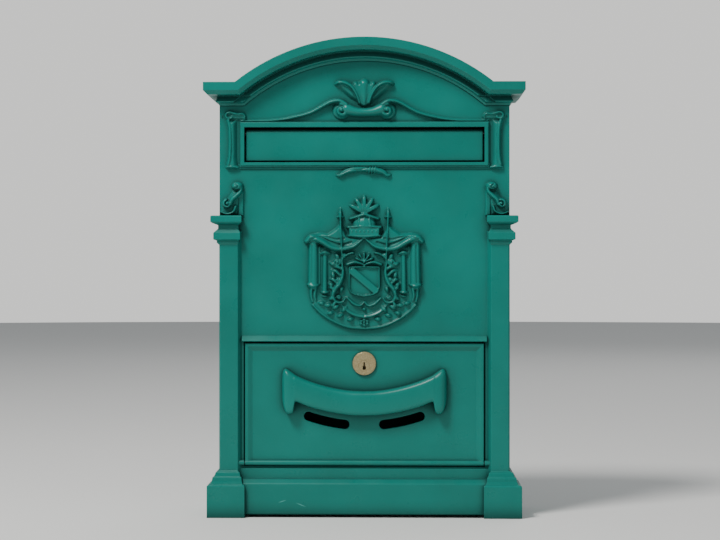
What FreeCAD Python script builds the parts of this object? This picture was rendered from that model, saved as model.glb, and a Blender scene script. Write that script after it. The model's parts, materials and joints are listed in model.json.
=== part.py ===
import FreeCAD, Part
import os
import re

import Sketcher

# Wall mounted letterbox of cast aluminium on a sheet steel body.
# X runs to the right, Y into the wall and Z up. The sketches measure heights from the underside
# of the feet and depths forward from the wall; every finished piece is then lowered by
# mount_height, so that the origin is the centre of the four wall screws on the wall plane.

DIMENSIONS = {
    "mount_height": 200, "screw_across": 80, "screw_up": 90, "screw_hole": 3.25,
    "body_half": 124.4, "casting": 3, "sheet": 1.5, "skirt_back": 40, "base_low": 2.6,
    "face": 78, "panel": 3.5, "ledge": 4,
    "arch_up": 232.8, "arch_radius": 177.5, "shoulder_up": 372.1, "roof_half": 137.3,
    "roof_front": 92, "moulding": 19.2, "roof_skin": 3.5,
    "pillar_in": 108.4, "pillar_slope": 3.1, "pillar_rise": 4, "pillar_low": 40.1, "pillar_top": 235.2,
    "plinth_front": 84.5, "plinth_top": 29.3, "foot_in": 102.1,
    "flap_half": 101.35, "flap_low": 305.7, "flap_roll": 3.5, "flap_axis": 329.2, "flap_gap": 1.6,
    "door_half": 102.2, "door_top": 148.8, "door_axis": 46.4, "door_pivot": 78.5, "door_bead": 2.3,
    "door_gap": 1.2, "door_skin": 3, "rim_rise": 2, "rim_flat": 2.3, "rim_slope": 4,
    "pin_radius": 1, "flap_pin": 1.25, "running": 0.05, "pin_in": 9,
    "smile_up": 227.2, "hood_top": 120, "hood_low": 140.7, "hood_half": 66.5, "hood_front": 88,
    "hood_wall": 2.5, "roll_radius": 4.4, "roll_low": 92,
    "roll_high": 128, "hood_screw_up": 112, "slot_radius": 148.8, "slot_half": 4,
    "slot_end_round": 4.001, "slot_start": 6.4, "slot_end": 18.8,
    "lock_up": 131.7, "lock_head": 10, "barrel": 8.2, "barrel_back": 60, "plug_drop": 2.2,
    "plug": 4.8, "cam_front": 59.6, "cam_back": 57.6, "cam_reach": 27, "cam_half": 6,
    "tail_half": 3, "nut_flats": 11, "rivet": 1.6, "small_screw": 1.5, "small_head": 2.8,
    "screw_radius": 2, "screw_head": 3.8,
}

doc = FreeCAD.newDocument("letterbox")
sheet = doc.addObject("Spreadsheet::Sheet", "Dims")
for row, (alias, size) in enumerate(DIMENSIONS.items(), start=1):
    sheet.set(f"A{row}", alias)
    sheet.set(f"B{row}", str(size))
    sheet.setAlias(f"B{row}", alias)
doc.recompute()

WORDS = re.compile(r"[a-z_]+")
SUB_PARTS = []


def bound(text):
    """The expression with each dimension's name pointing at its cell."""
    return WORDS.sub(lambda m: "Dims." + m.group() if m.group() in DIMENSIONS else m.group(), str(text))


def number(text):
    return float(sheet.evalExpression(bound(text)))


def bind(thing, **sizes):
    for name, text in sizes.items():
        thing.setExpression(name.replace("__", "."), bound(text))


def finish(thing, label):
    """Name a finished piece and lower it to the part's own frame."""
    thing.Label = label
    bind(thing, Placement__Base__z="-mount_height")
    SUB_PARTS.append(thing)
    return thing


# Sketches

def through(start, end, radius):
    """The middle of the arc from start to end; a positive radius bulges to the left of the way."""
    chord = end - start
    left = FreeCAD.Vector(-chord.y, chord.x, 0).normalize()
    size = abs(radius)
    rise = size - max(0, size * size - chord.Length ** 2 / 4) ** 0.5
    return (start + end) * 0.5 + left * rise * (1 if radius > 0 else -1)


def pin_point(sketch, edge, end, across, up):
    for kind, text in (("DistanceX", across), ("DistanceY", up)):
        index = sketch.addConstraint(Sketcher.Constraint(kind, -1, 1, edge, end, number(text)))
        sketch.setExpression(f"Constraints[{index}]", bound(text))


def add_outline(sketch, corners):
    """A closed outline. A corner is (across, up), or (across, up, radius) where an arc leaves it."""
    spots = [FreeCAD.Vector(number(c[0]), number(c[1]), 0) for c in corners]
    first = sketch.GeometryCount
    count = len(corners)
    for index, corner in enumerate(corners):
        start, end = spots[index], spots[(index + 1) % count]
        if len(corner) == 3:
            edge = sketch.addGeometry(Part.Arc(start, through(start, end, number(corner[2])), end))
        else:
            edge = sketch.addGeometry(Part.LineSegment(start, end))
        if len(corner) == 3:
            size = sketch.addConstraint(Sketcher.Constraint("Radius", edge, abs(number(corner[2]))))
            sketch.setExpression(f"Constraints[{size}]", "abs(" + bound(corner[2]) + ")")
    for index, corner in enumerate(corners):
        ends = []
        for edge in (first + index, first + (index - 1) % count):
            near = sketch.getPoint(edge, 1).distanceToPoint(spots[index]) < 1e-6
            ends.append((edge, 1 if near else 2))
        sketch.addConstraint(Sketcher.Constraint("Coincident", *ends[0], *ends[1]))
        pin_point(sketch, *ends[0], corner[0], corner[1])


def add_circle(sketch, across, up, radius):
    centre = FreeCAD.Vector(number(across), number(up), 0)
    edge = sketch.addGeometry(Part.Circle(centre, FreeCAD.Vector(0, 0, 1), number(radius)))
    size = sketch.addConstraint(Sketcher.Constraint("Radius", edge, number(radius)))
    sketch.setExpression(f"Constraints[{size}]", bound(radius))
    pin_point(sketch, edge, 3, across, up)


def fill(sketch, shapes):
    for shape in shapes:
        if shape[0] == "circle":
            add_circle(sketch, *shape[1:])
        else:
            add_outline(sketch, shape)


def sketch_on(body, plane, shapes, offset="0", lift="0"):
    """A sketch on one of the body's own planes; lift moves its origin up the plane."""
    base = next(f for f in body.Origin.OriginFeatures if f.Role == plane)
    sketch = body.newObject("Sketcher::SketchObject", body.Name + "_sketch")
    sketch.AttachmentSupport = [(base, "")]
    sketch.MapMode = "FlatFace"
    bind(sketch, AttachmentOffset__Base__z=offset, AttachmentOffset__Base__y=lift)
    fill(sketch, shapes)
    return sketch


def box(left, right, low, high):
    return [(left, low), (right, low), (right, high), (left, high)]


def about(half, low, high):
    """A box centred on the middle plane."""
    return box(f"-({half})", half, low, high)


# Features: front and back are depths from the wall, left and right are places along X

def new_body(name):
    return doc.addObject("PartDesign::Body", name)


def sided(body, kind, sketch, length, **more):
    before = body.Shape.Volume if body.Tip else 0
    feature = body.newObject("PartDesign::" + kind, body.Name + "_" + kind.lower())
    feature.Profile = sketch
    bind(feature, Length=length)
    for name, setting in more.items():
        setattr(feature, name, setting)
    doc.recompute()
    change = body.Shape.Volume - before
    if abs(change) < 1e-3 or (change > 0) != (kind == "Pad"):
        raise RuntimeError(f"{feature.Name} changed the volume by {change}")
    return feature


def raise_front(body, shapes, back, front):
    sided(body, "Pad", sketch_on(body, "XZ_Plane", shapes, back), f"{front}-({back})")


def sink_front(body, shapes, back, front):
    cut = sketch_on(body, "XZ_Plane", shapes, back)
    sided(body, "Pocket", cut, f"{front}-({back})", Reversed=True)


def bar_along(body, shapes, left, right):
    """A bar along X with a section of (minus depth, height)."""
    sided(body, "Pad", sketch_on(body, "YZ_Plane", shapes, left), f"{right}-({left})")


def cut_along(body, shapes, left, right):
    cut = sketch_on(body, "YZ_Plane", shapes, left)
    sided(body, "Pocket", cut, f"{right}-({left})", Reversed=True)


def column(body, shapes, low, high):
    sided(body, "Pad", sketch_on(body, "XY_Plane", shapes, low), f"{high}-({low})")


# Loose solids for the pieces that are built from primitives

def loose_sketch(name, shapes, turned):
    sketch = doc.addObject("Sketcher::SketchObject", name)
    sketch.Placement = turned
    fill(sketch, shapes)
    return sketch


UPRIGHT = FreeCAD.Placement(FreeCAD.Vector(), FreeCAD.Rotation(0, 0, 90))
SIDEWAYS = FreeCAD.Placement(FreeCAD.Vector(), FreeCAD.Rotation(90, 0, 90))


def extrusion(name, shapes, turned, forward, back="0"):
    solid = doc.addObject("Part::Extrusion", name)
    solid.Base = loose_sketch(name + "_sketch", shapes, turned)
    solid.DirMode = "Normal"
    solid.Solid = True
    bind(solid, LengthFwd=forward, LengthRev=back)
    return solid


def cylinder(name, radius, length, x, depth, height, axis):
    """A round bar from a point, along X for "x" or towards the front for "front"."""
    solid = doc.addObject("Part::Cylinder", name)
    turn = FreeCAD.Rotation(90, 0, 90) if axis == "x" else FreeCAD.Rotation(0, 0, 90)
    solid.Placement = FreeCAD.Placement(FreeCAD.Vector(), turn)
    bind(solid, Radius=radius, Height=length, Placement__Base__x=x,
         Placement__Base__y=f"-({depth})", Placement__Base__z=height)
    return solid


def joined(name, solids):
    fuse = doc.addObject("Part::MultiFuse", name)
    fuse.Shapes = solids
    return fuse


def cut_away(name, base, tools):
    cut = doc.addObject("Part::Cut", name)
    cut.Base = base
    cut.Tool = joined(name + "_tools", tools) if len(tools) > 1 else tools[0]
    return cut


def group(name, solids):
    compound = doc.addObject("Part::Compound", name)
    compound.Links = solids
    return compound


def mitred(name, profile, side, inner_share, front_share):
    """A moulding that turns the corner of a pillar: the front view's prism meets the side view's.

    The profile is (projection, height); the inner end and the front project by a share of it.
    """
    outer = [(f"{side}*(body_half+{p})", z) for p, z in profile]
    inner = [(f"{side}*(pillar_in-{inner_share}*{p})", z) for p, z in reversed(profile)]
    seen = [(f"-(face+pillar_rise+{front_share}*{p})", z) for p, z in profile]
    seen += [("-skirt_back", profile[-1][1]), ("-skirt_back", profile[0][1])]
    face = extrusion(name + "_face", [outer + inner], UPRIGHT, "roof_front")
    flank = extrusion(name + "_flank", [seen], SIDEWAYS, "roof_half", "roof_half")
    common = doc.addObject("Part::Common", name)
    common.Base = face
    common.Tool = flank
    inside = extrusion(name + "_inside", [about("body_half-casting", "base_low+casting", "shoulder_up")],
                       UPRIGHT, "face-1")
    return cut_away(name + "_hollow", common, [inside])


# The front casting

CAPITAL = ((0, 233.4), (1.9, 235.2), (1.9, 236.9), (4.7, 238), (4.7, 243.6), (1.4, 246.6), (0.8, 247.4),
           (0.8, 250.2), (5.4, 251.9), (7.1, 253), (7.1, 257.7), (6.4, 258.4), (0, 258.4))
FOOT = ((10.1, 0), (10.1, 26.9), (9.5, 27.8), (7.2, 28.6), (5.9, 31), (5.5, 34.2), (3.9, 35.2), (2.9, 38.4),
        (1.2, 39.2), (0, 40.1))


def front_body():
    body = new_body("front")
    inner_arch = "(arch_radius-moulding)"
    eaves = "(shoulder_up-moulding)"
    arch_half = f"sqrt({inner_arch}^2-({eaves}-arch_up)^2)"
    raise_front(body, [[("-body_half", "base_low"), ("body_half", "base_low"), ("body_half", eaves),
                        (arch_half, eaves, f"-{inner_arch}"), (f"-{arch_half}", eaves),
                        ("-body_half", eaves)]], "face-panel", "face")
    inner = "(body_half-casting)"
    floor = "base_low+casting"
    raise_front(body, [[("-body_half", eaves), ("-body_half", "base_low"), ("body_half", "base_low"),
                        ("body_half", eaves), (inner, eaves), (inner, floor), (f"-{inner}", floor),
                        (f"-{inner}", eaves)]], "skirt_back", "face")
    tongue = 12
    tongue_half = 100
    low_edge = f"arch_up+sqrt(({inner_arch}-6)^2-{tongue_half}^2)"
    high_edge = f"arch_up+sqrt(({inner_arch}+{tongue})^2-{tongue_half}^2)"
    raise_front(body, [[(-tongue_half, low_edge, f"{inner_arch}-6"), (tongue_half, low_edge),
                        (tongue_half, high_edge, f"-({inner_arch}+{tongue})"), (-tongue_half, high_edge)]],
                "face-panel-casting", "face-panel")
    for half, low, high in (("110", "299", "339"), ("108", "40", "155")):
        raise_front(body, [about(half, low, high)], "face-panel-ledge", "face-panel")
    raise_front(body, [about("22", "146.5", "156")], "barrel_back+0.8", "face-panel-ledge")
    add_pillars(body)
    add_bands(body)
    cut_openings(body)
    return body


def add_pillars(body):
    top = "face+pillar_rise"
    for side in (1, -1):
        section = [(f"{side}*(pillar_in-pillar_slope)", "-face"), (f"{side}*pillar_in", f"-({top})"),
                   (f"{side}*(body_half-1.2)", f"-({top})"), (f"{side}*body_half", f"-({top}-1.2)"),
                   (f"{side}*body_half", "-(face-panel)"),
                   (f"{side}*(pillar_in-pillar_slope)", "-(face-panel)")]
        column(body, [section], "pillar_low-4", "pillar_top+10")


def add_bands(body):
    """The plinth, the drip moulding over the door and the frame of the mail slot."""
    bar_along(body, [[("-(face-1)", "base_low"), ("-(plinth_front-0.8)", "base_low"),
                      ("-plinth_front", "base_low+0.8"), ("-plinth_front", "plinth_top-0.8"),
                      ("-(plinth_front-0.4)", "plinth_top"), ("-(face+2.6)", "plinth_top+3.2"),
                      ("-(face+0.9)", "plinth_top+3.8"), ("-(face+0.9)", "plinth_top+12.3"),
                      ("-face", "plinth_top+13.1"), ("-(face-1)", "plinth_top+13.1")]],
              "-(foot_in+6)", "foot_in+6")
    bar_along(body, [[("-(face-1)", 150.5), ("-(face+3.4)", 150.5), ("-(face+3.8)", 151),
                      ("-(face+3.6)", 151.6), ("-(face+0.5)", 155.2), ("-face", 155.4),
                      ("-(face-1)", 155.4)]], "-105", "105")
    for half, low, high, rise in (("106.8", "300.2", "338.9", "2"), ("106", "301.4", "338.2", "2.6"),
                                  ("108", "298.6", "303", "1")):
        raise_front(body, [about(half, low, high)], "face-1", f"face+{rise}")


def cut_openings(body):
    flap_side = "flap_half+flap_gap"
    flap_head = "flap_axis+flap_roll+flap_gap"
    sink_front(body, [about(flap_side, "flap_low-flap_gap", flap_head)], "face-panel-0.5", "face+5")
    sink_front(body, [about("flap_half-4", "flap_low+4", flap_head)], "50", "face+5")
    sink_front(body, [about("door_half+door_gap", "door_axis-door_bead-0.9", "door_top+1.7")],
               "face-panel", "face+5")
    sink_front(body, [about("98.5", "51", "145.5")], "60", "face+5")
    for side in (1, -1):
        ends = sorted((side * 97.3, side * 110.1))
        sink_front(body, [box(*ends, "323.4", "334.8")], "50", "face-2")


def build_front():
    pieces = [front_body()]
    for side, word in ((1, "right"), (-1, "left")):
        pieces.append(mitred("capital_" + word, CAPITAL, side, 0.5, 0.7))
        pieces.append(mitred("foot_" + word, FOOT, side, 0.62, 0.6))
        pieces.append(cylinder("knuckle_" + word, "2.5", "6.5", "103" if side == 1 else "-109.5",
                               "door_pivot", "door_axis", "x"))
    holes = []
    for x, height, depth in WRAP_SCREWS:
        holes.append(cylinder("wrap_hole", "screw_radius+running", "8",
                              "body_half-8.4" if x > 0 else "-body_half+0.4", depth, height, "x"))
    for x, height in TONGUE_SCREWS:
        holes.append(cylinder("tongue_hole", "screw_radius+running", "12", x, 66, height, "front"))
    for side, word in ((1, "right"), (-1, "left")):
        holes.append(cylinder("bearing_hole_" + word, "1.5+running", "4", f"{side}*114", 73, 329, "front"))
        holes.append(cylinder("pin_hole_" + word, "pin_radius", "5.6",
                              "103" if side == 1 else "-108.6", "door_pivot", "door_axis", "x"))
    return finish(cut_away("front_casting", joined("front_all", pieces), holes), "front_casting")


# The roof with its cornice

# (projection beyond the body, drop below the top) down the cornice; the cove is an arc
CORNICE = ((12.9, 0), (12.9, 7.1), (9.6, 10.4), (1.8, 10.9), (1.2, 11.4), (2.9, 15.6, 6),
           (2.6, 16.4), (0.6, 17.4), (0, 19.2))


def build_roof():
    body = new_body("roof")
    side = [(f"roof_half-12.9+{step[0]}", f"shoulder_up-{step[1]}") for step in CORNICE]
    mirrored = [(f"-({across})", up) for across, up in reversed(side)]
    raise_front(body, [side + mirrored], "0", "roof_front")
    add_arch(body)
    outline = [(f"-(roof_front-12.9+{step[0]})", step[1]) for step in CORNICE]
    waste = [("-(roof_front+5)", 0)] + outline + [("-(roof_front+5)", 19.2)]
    low_first = [(across, f"shoulder_up-{drop}") for across, drop in waste]
    cut_along(body, [low_first], "-roof_half-1", "roof_half+1")
    groove_arch(body, [(across, f"arch_radius-{drop}") for across, drop in waste], 180)
    sink_front(body, [("circle", "0", "arch_up", "arch_radius-moulding")], "-1", "roof_front+1")
    groove_arch(body, [("1", "100"), ("-(face-panel)", "100"), ("-(face-panel)", "arch_radius-roof_skin"),
                       ("1", "arch_radius-roof_skin")], 90)
    sink_front(body, [about("body_half-casting", "300", "shoulder_up-roof_skin")], "-1", "face-panel")
    holes = []
    for x, height, depth in ROOF_SCREWS:
        holes.append(cylinder("roof_hole", "screw_radius+running", "5.5",
                              "body_half-5" if x > 0 else "-body_half-0.5", depth, height, "x"))
    for x, height in TONGUE_SCREWS:
        holes.append(cylinder("cornice_hole", "screw_radius+running", "6.3", x, 73, height, "front"))
    return finish(cut_away("roof_cornice", body, holes), "roof_cornice")


ARCH_ANGLE = "2*asin(sqrt(arch_radius^2-(shoulder_up-arch_up)^2)/arch_radius)"


def turned(body, kind, outline, angle):
    """Turn a section of (minus depth, radius) about the middle of the arch."""
    before = body.Shape.Volume
    sketch = sketch_on(body, "YZ_Plane", [outline], "0", "arch_up")
    feature = body.newObject("PartDesign::" + kind, "arch_" + kind.lower())
    feature.Profile = sketch
    feature.ReferenceAxis = (sketch, ["H_Axis"])
    feature.Midplane = True
    bind(feature, Angle=angle)
    doc.recompute()
    if abs(body.Shape.Volume - before) < 1:
        raise RuntimeError(feature.Name + " changed nothing")


def add_arch(body):
    turned(body, "Revolution", [("0", "arch_radius-moulding-1"), ("-roof_front", "arch_radius-moulding-1"),
                                ("-roof_front", "arch_radius"), ("0", "arch_radius")], ARCH_ANGLE)


def groove_arch(body, outline, angle):
    turned(body, "Groove", outline, angle)


# Sheet body

WRAP_SCREWS = [(side, height, 57) for side in (1, -1) for height in (70, 180, 285)]
ROOF_SCREWS = [(side, 359, depth) for side in (1, -1) for depth in (22, 58)]
TONGUE_SCREWS = [(-70, 380.5), (0, 397), (70, 380.5)]
RIVETS = [(side * 113, height) for side in (1, -1) for height in (60, 200, 335)]


def build_wrap():
    body = new_body("wrap")
    outer = "(body_half-casting)"
    inner = f"({outer}-sheet)"
    low = "base_low+casting"
    high = "366"
    raise_front(body, [[(f"-{outer}", high), (f"-{outer}", low), (outer, low), (outer, high),
                        (inner, high), (inner, f"{low}+sheet"), (f"-{inner}", f"{low}+sheet"),
                        (f"-{inner}", high)]], "sheet", "face-panel")
    flange = f"({inner}-12)"
    raise_front(body, [[(f"-{inner}", "350"), (f"-{inner}", f"{low}+sheet"), (inner, f"{low}+sheet"),
                        (inner, "350"), (flange, "350"), (flange, f"{low}+14"), (f"-{flange}", f"{low}+14"),
                        (f"-{flange}", "350")]], "sheet", "2*sheet")
    holes = []
    for x, height, depth in WRAP_SCREWS + ROOF_SCREWS:
        holes.append(cylinder("wrap_side_hole", "screw_radius+running", "6",
                              "body_half-8" if x > 0 else "-body_half+2", depth, height, "x"))
    for x, height in RIVETS:
        holes.append(cylinder("flange_hole", "1.6", "6", x, 0, height, "front"))
    return finish(cut_away("side_wrap", body, holes), "side_wrap")


def build_back():
    body = new_body("back")
    edge = "(arch_radius-roof_skin)"
    corner = f"sqrt({edge}^2-(shoulder_up-roof_skin-arch_up)^2)"
    high = "shoulder_up-roof_skin"
    half = "(body_half-casting)"
    raise_front(body, [[(f"-{half}", "base_low+casting"), (half, "base_low+casting"), (half, high),
                        (corner, high, f"-{edge}"), (f"-{corner}", high), (f"-{half}", high)]], "0", "sheet")
    holes = [("circle", x, height, "1.6") for x, height in RIVETS]
    for side in (1, -1):
        for up in (1, -1):
            holes.append(("circle", f"{side}*screw_across", f"mount_height+{up}*screw_up", "screw_hole"))
    sink_front(body, holes, "-1", "sheet+1")
    return finish(body, "back_plate")


def build_fixings():
    rivets = []
    for x, height in RIVETS:
        shank = cylinder("rivet_shank", "rivet", "2*sheet", x, 0, height, "front")
        head = cylinder("rivet_head", "3", "1", x, "2*sheet", height, "front")
        rivets.append(joined("rivet", [shank, head]))
    finish(group("back_rivets", rivets), "back_rivets")
    for label, places in (("wrap_screws", WRAP_SCREWS), ("roof_side_screws", ROOF_SCREWS)):
        finish(group(label, [side_screw(*place) for place in places]), label)
    finish(group("roof_front_screws", [front_screw(x, height) for x, height in TONGUE_SCREWS]),
           "roof_front_screws")


def side_screw(side, height, depth):
    inner = "(body_half-casting-sheet)"
    start = inner if side > 0 else f"-({inner}+4)"
    shank = cylinder("side_shank", "screw_radius", "4", start, depth, height, "x")
    start = f"{inner}-2.4" if side > 0 else f"-{inner}"
    head = cylinder("side_head", "screw_head", "2.4", start, depth, height, "x")
    return joined("side_screw", [shank, head])


def front_screw(x, height):
    shank = cylinder("front_shank", "screw_radius", "7", x, "face-panel-casting", height, "front")
    head = cylinder("front_head", "screw_head", "2.4", x, "face-panel-casting-2.4", height, "front")
    return joined("front_screw", [shank, head])


# The mail flap and its bearings

def build_flap():
    body = new_body("flap")
    raise_front(body, [about("flap_half", "flap_low", "flap_axis")], "face-panel", "face")
    bar_along(body, [("circle", "-(face-panel)", "flap_axis", "flap_roll")], "-flap_half", "flap_half")
    bores = []
    for side, word in ((1, "right"), (-1, "left")):
        start = "flap_half-pin_in" if side == 1 else "-flap_half-1"
        bores.append(cylinder("flap_bore_" + word, "flap_pin", "pin_in+1", start, "face-panel",
                              "flap_axis", "x"))
        build_bearing(side, word)
    return finish(cut_away("mail_flap", body, bores), "mail_flap")


def build_bearing(side, word):
    start = "flap_half-pin_in" if side == 1 else "-108"
    build_pin("flap_pin_" + word, "flap_pin", start, "108-flap_half+pin_in", "face-panel", "flap_axis")
    body = new_body("bearing_" + word)
    raise_front(body, [box(*sorted((side * 103, side * 110)), "323.5", "334.7")], "68.5", "face-2.1")
    raise_front(body, [box(*sorted((side * 106, side * 118)), "324", "334")], "68.5", "face-panel-ledge")
    raise_front(body, [box(*sorted((side * 110, side * 118)), "324", "334")], "68.5", "face-panel")
    bore = cylinder("bearing_bore_" + word, "flap_pin+running", "6.2", "102.5" if side == 1 else "-108.7",
                    "face-panel", "flap_axis", "x")
    hole = cylinder("bearing_screw_hole_" + word, "1.5+running", "12", f"{side}*114", 66, 329, "front")
    finish(cut_away("flap_bearing_" + word, body, [bore, hole]), "flap_bearing_" + word)


def build_pin(label, radius, left, length, depth, height):
    body = new_body(label + "_body")
    bar_along(body, [("circle", f"-({depth})", height, radius)], left, f"{left}+{length}")
    finish(body, label)


def build_bearing_screws():
    screws = []
    for side in (1, -1):
        shank = cylinder("bearing_shank", "1.5", "8.2", f"{side}*114", 68.5, 329, "front")
        head = cylinder("bearing_head", "2.8", "2", f"{side}*114", 66.5, 329, "front")
        screws.append(joined("bearing_screw", [shank, head]))
    finish(group("flap_bearing_screws", screws), "flap_bearing_screws")


# The door

def ring_point(radius, angle):
    """A point on a circle about the centre of the smile, by its angle from straight down."""
    return f"({radius})*sin({angle})", f"smile_up-({radius})*cos({angle})"


def sector(inner, outer, half):
    """The band between two arcs that hang below the centre of the smile, cut at plus and minus half."""
    low, high = f"smile_up-sqrt(({outer})^2-({half})^2)", f"smile_up-sqrt(({inner})^2-({half})^2)"
    return [(f"-({half})", low, f"-({outer})"), (half, low), (half, high, inner), (f"-({half})", high)]


def viewing_slot(side):
    """A curved slot under the hood, with rounded ends."""
    inner, outer = "slot_radius-slot_half", "slot_radius+slot_half"
    start, end = f"{side}*slot_start", f"{side}*slot_end"
    return [(*ring_point(outer, start), f"{-side}*({outer})"),
            (*ring_point(outer, end), f"{-side}*slot_end_round"),
            (*ring_point(inner, end), f"{side}*({inner})"),
            (*ring_point(inner, start), f"{-side}*slot_end_round")]


def build_door():
    """The leaf, with a rim at its top and sides only; its lower edge is the hinge bead."""
    body = new_body("door_leaf")
    raise_front(body, [about("door_half", "door_axis", "door_top")], "face-door_skin", "face+rim_rise")
    hollow = body.newObject("PartDesign::SubtractiveLoft", "panel_hollow")
    edges = []
    for inset, depth in (("rim_flat", "face+rim_rise"), ("rim_flat+rim_slope", "face")):
        edges.append(sketch_on(body, "XZ_Plane", [about(f"door_half-({inset})", "door_axis-1",
                                                        f"door_top-({inset})")], depth))
    hollow.Profile = edges[0]
    hollow.Sections = [edges[1]]
    doc.recompute()
    bar_along(body, [("circle", "-door_pivot", "door_axis", "door_bead")], "-door_half", "door_half")
    for side in (1, -1):
        sink_front(body, [viewing_slot(side)], "60", "face+5")
    sink_front(body, [("circle", "0", "lock_up", "barrel+0.1")], "60", "face+5")
    bores = []
    for side, word in ((1, "right"), (-1, "left")):
        start = "door_half-pin_in" if side == 1 else "-door_half-1"
        bores.append(cylinder("door_bore_" + word, "pin_radius+running", "pin_in+1", start,
                              "door_pivot", "door_axis", "x"))
        start = "door_half-pin_in+0.5" if side == 1 else "-108.5"
        build_pin("door_pin_" + word, "pin_radius", start, "108.5-(door_half-pin_in+0.5)",
                  "door_pivot", "door_axis")
        bores.append(cylinder("hood_hole_" + word, "small_screw+running", "6", f"{side}*hood_half",
                              "face-4", "hood_screw_up", "front"))
    return finish(cut_away("door", body, bores), "door")


def build_hood():
    """The finger pull: a curved hood, open below, between two upright rolls."""
    body = new_body("hood_shell")
    raise_front(body, [sector("hood_top", "hood_low", "hood_half")], "face", "hood_front-2.4")
    raise_front(body, [sector("hood_top+1.6", "hood_low", "hood_half")], "hood_front-3", "hood_front")
    cavity = sector("hood_top+hood_wall+0.8", "hood_low+2", "hood_half-4.5")
    sink_front(body, [cavity], "face-1", "hood_front-2")
    pieces = [body]
    holes = []
    screws = []
    for side, word in ((1, "right"), (-1, "left")):
        roll = doc.addObject("Part::Cylinder", "roll_" + word)
        bind(roll, Radius="roll_radius", Height="roll_high-roll_low",
             Placement__Base__x=f"{side}*hood_half", Placement__Base__y="-(face+roll_radius)",
             Placement__Base__z="roll_low")
        pieces.append(roll)
        spot = (f"{side}*hood_half", "face-door_skin", "hood_screw_up", "front")
        holes.append(cylinder("hood_bore_" + word, "small_screw+running", "9", *spot))
        shank = cylinder("hood_shank_" + word, "small_screw", "8.5", *spot)
        head = cylinder("hood_head_" + word, "small_head", "2", spot[0], "face-door_skin-2", *spot[2:])
        screws.append(joined("hood_screw_" + word, [shank, head]))
    finish(cut_away("pull_hood", joined("hood_all", pieces), holes), "pull_hood")
    finish(group("hood_screws", screws), "hood_screws")


# The cam lock

def build_lock():
    plug_up = "lock_up-plug_drop"
    body = new_body("barrel_body")
    for radius, back, front in (("barrel", "barrel_back", "face+0.5"), ("lock_head", "face", "face+1.6"),
                                ("lock_head-0.8", "face+1.6", "face+2.2")):
        raise_front(body, [("circle", "0", "lock_up", radius)], back, front)
    sink_front(body, [("circle", "0", plug_up, "plug+running")], "50", "face+5")
    finish(body, "lock_barrel")

    plug = new_body("plug_body")
    raise_front(plug, [("circle", "0", plug_up, "plug")], "cam_front", "face+2")
    raise_front(plug, [about("tail_half", f"{plug_up}-tail_half", f"{plug_up}+tail_half")],
                "cam_back", "cam_front+1")
    sink_front(plug, [[("-1.4", f"{plug_up}-2.6"), ("-0.7", f"{plug_up}-3.3"), ("0.7", f"{plug_up}-3.3"),
                       ("1.4", f"{plug_up}-2.6"), ("1.4", f"{plug_up}-0.2"), ("0.6", f"{plug_up}+0.4"),
                       ("0.6", f"{plug_up}+3.3"), ("-0.6", f"{plug_up}+3.3"), ("-0.6", f"{plug_up}+0.4"),
                       ("-1.4", f"{plug_up}-0.2")]], "face-13", "face+5")
    wafers = new_body("wafer_body")
    wafers.AllowCompound = True
    for index in range(5):
        back = f"face-11.5+{index}*2.3"
        sink_front(plug, [about("2.3", f"{plug_up}-6", f"{plug_up}+6")], f"{back}-0.05", f"{back}+1.05")
        raise_front(wafers, [about("2.2", f"{plug_up}-4", f"{plug_up}+4"),
                             about("1.5", f"{plug_up}-3.4", f"{plug_up}+3.4")], back, f"{back}+1")
    sink_front(plug, [("circle", "0", plug_up, "1.95")], "50", "face-14")
    finish(plug, "lock_plug")
    finish(wafers, "lock_wafers")
    build_lock_fixings(plug_up)


def build_lock_fixings(plug_up):
    back = "face-door_skin"
    washer = new_body("washer_body")
    raise_front(washer, [("circle", "0", "lock_up", "10.4"), ("circle", "0", "lock_up", "barrel+0.1")],
                f"{back}-0.8", back)
    finish(washer, "lock_washer")
    nut = new_body("nut_body")
    side = "nut_flats/sqrt(3)"
    hexagon = [(f"2*{side}", "lock_up"), (side, "lock_up+nut_flats"), (f"-{side}", "lock_up+nut_flats"),
               (f"-2*{side}", "lock_up"), (f"-{side}", "lock_up-nut_flats"), (side, "lock_up-nut_flats")]
    raise_front(nut, [hexagon, ("circle", "0", "lock_up", "barrel+0.1")], f"{back}-4.8", f"{back}-0.8")
    finish(nut, "lock_nut")
    cam = new_body("cam_body")
    outline = [("2", f"{plug_up}-cam_half", "-cam_half*1.2"), ("2", f"{plug_up}+cam_half"),
               ("-cam_reach+3", f"{plug_up}+cam_half-1.5"), ("-cam_reach", f"{plug_up}+cam_half-4"),
               ("-cam_reach", f"{plug_up}-cam_half+4"), ("-cam_reach+3", f"{plug_up}-cam_half+1.5")]
    tail = about("tail_half+0.05", f"{plug_up}-tail_half-0.05", f"{plug_up}+tail_half+0.05")
    raise_front(cam, [outline, tail], "cam_back+0.05", "cam_front-0.05")
    finish(cam, "lock_cam")
    screw = new_body("cam_screw_body")
    raise_front(screw, [("circle", "0", plug_up, "1.9")], "cam_back", "cam_back+6")
    raise_front(screw, [("circle", "0", plug_up, "4.3")], "cam_back-2.4", "cam_back")
    sink_front(screw, [about("0.5", f"{plug_up}-5", f"{plug_up}+5")], "cam_back-3", "cam_back-1.6")
    finish(screw, "cam_screw")


def write_parts():
    doc.recompute()
    for thing in doc.Objects:
        if "Invalid" in thing.State or "Error" in thing.State:
            raise RuntimeError(f"{thing.Label}: {thing.State}")
    os.makedirs("parts", exist_ok=True)
    for thing in SUB_PARTS:
        if thing.Shape.isNull() or not thing.Shape.isValid():
            raise RuntimeError(thing.Label + " has no valid shape")
        thing.Shape.exportStep(f"parts/{thing.Label}.step")
        print(f"{thing.Label}: {len(thing.Shape.Solids)} solids, {thing.Shape.Volume:.0f} mm3")


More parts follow.
